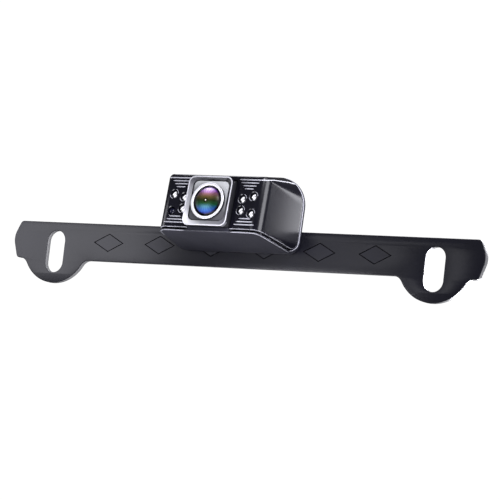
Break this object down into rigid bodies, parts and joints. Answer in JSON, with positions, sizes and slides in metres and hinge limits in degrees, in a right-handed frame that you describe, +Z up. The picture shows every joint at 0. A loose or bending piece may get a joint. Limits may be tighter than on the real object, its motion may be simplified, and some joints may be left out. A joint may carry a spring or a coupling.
{
  "type": "license plate backup camera",
  "caption": "Reversing camera on a flat bar that bolts over a vehicle's license plate, with infrared lamps and a lens module that tilts.",
  "frame": {"origin": "on the bar's back face, halfway between the two slots and level with their centres", "axes": "+X along the bar to the right as seen from behind the vehicle, +Y back towards the vehicle, out of the bar's back face, +Z up; the lens looks along -Y, tilted up a little"},
  "size_m": [0.2206, 0.0312, 0.0469],
  "materials": {
    "bar_paint": "satin dark grey powder coat",
    "cover_plastic": "satin black moulded plastic",
    "shell_plastic": "fine-grained dark grey moulded plastic",
    "bezel_finish": "silver-grey satin lacquer",
    "lens_plate": "grey satin",
    "ring_chrome": "polished bright ring",
    "lens_glass": "coated optical glass",
    "lamp_resin": "clear moulded resin",
    "sensor_resin": "dark tinted resin",
    "steel": "plated steel",
    "brass": "turned brass",
    "rubber": "matt black rubber",
    "circuit_board": "green solder mask",
    "black_part": "matt black",
    "nylon": "natural nylon",
    "aluminium": "turned aluminium"
  },
  "bodies": {
    "housing": {"mounting_bar": "bar_paint", "front_cover": "cover_plastic", "rear_shell": "shell_plastic", "bar_screw_left": "steel", "bar_screw_right": "steel", "housing_screw_left_top": "steel", "housing_screw_left_bottom": "steel", "housing_screw_right_top": "steel", "housing_screw_right_bottom": "steel", "cable_gland": "rubber", "ir_lamp_1": "lamp_resin", "ir_lamp_2": "lamp_resin", "ir_lamp_3": "lamp_resin", "ir_lamp_4": "lamp_resin", "ir_lamp_5": "lamp_resin", "ir_lamp_6": "lamp_resin", "ir_lamp_7": "lamp_resin", "light_sensor": "sensor_resin", "lamp_board_left": "circuit_board", "lamp_board_right": "circuit_board", "pivot_bush_left": "brass", "pivot_bush_right": "brass", "friction_washer_left": "nylon", "friction_washer_right": "nylon", "main_board": "circuit_board", "video_chip": "black_part", "inductor": "black_part", "cable_connector": "nylon", "capacitor": "aluminium"},
    "lens_module": {"bezel_frame": "bezel_finish", "module_shell": "cover_plastic", "module_back": "cover_plastic", "lens_plate": "lens_plate", "lens_ring": "ring_chrome", "front_lens": "lens_glass", "barrel_oring": "rubber", "lens_barrel": "aluminium", "middle_lens": "lens_glass", "lens_spacer": "black_part", "rear_lens": "lens_glass", "lens_holder": "black_part", "infrared_filter": "lens_glass", "image_sensor": "black_part", "sensor_board": "circuit_board", "pivot_pin_left": "steel", "pivot_pin_right": "steel"}
  },
  "joints": [
    {"name": "lens_tilt", "type": "hinge", "parent": "housing", "child": "lens_module", "pos_m": [0, -0.02037, 0.01824], "axis": [-1, 0, 0], "range_deg": [-10, 10]}
  ]
}
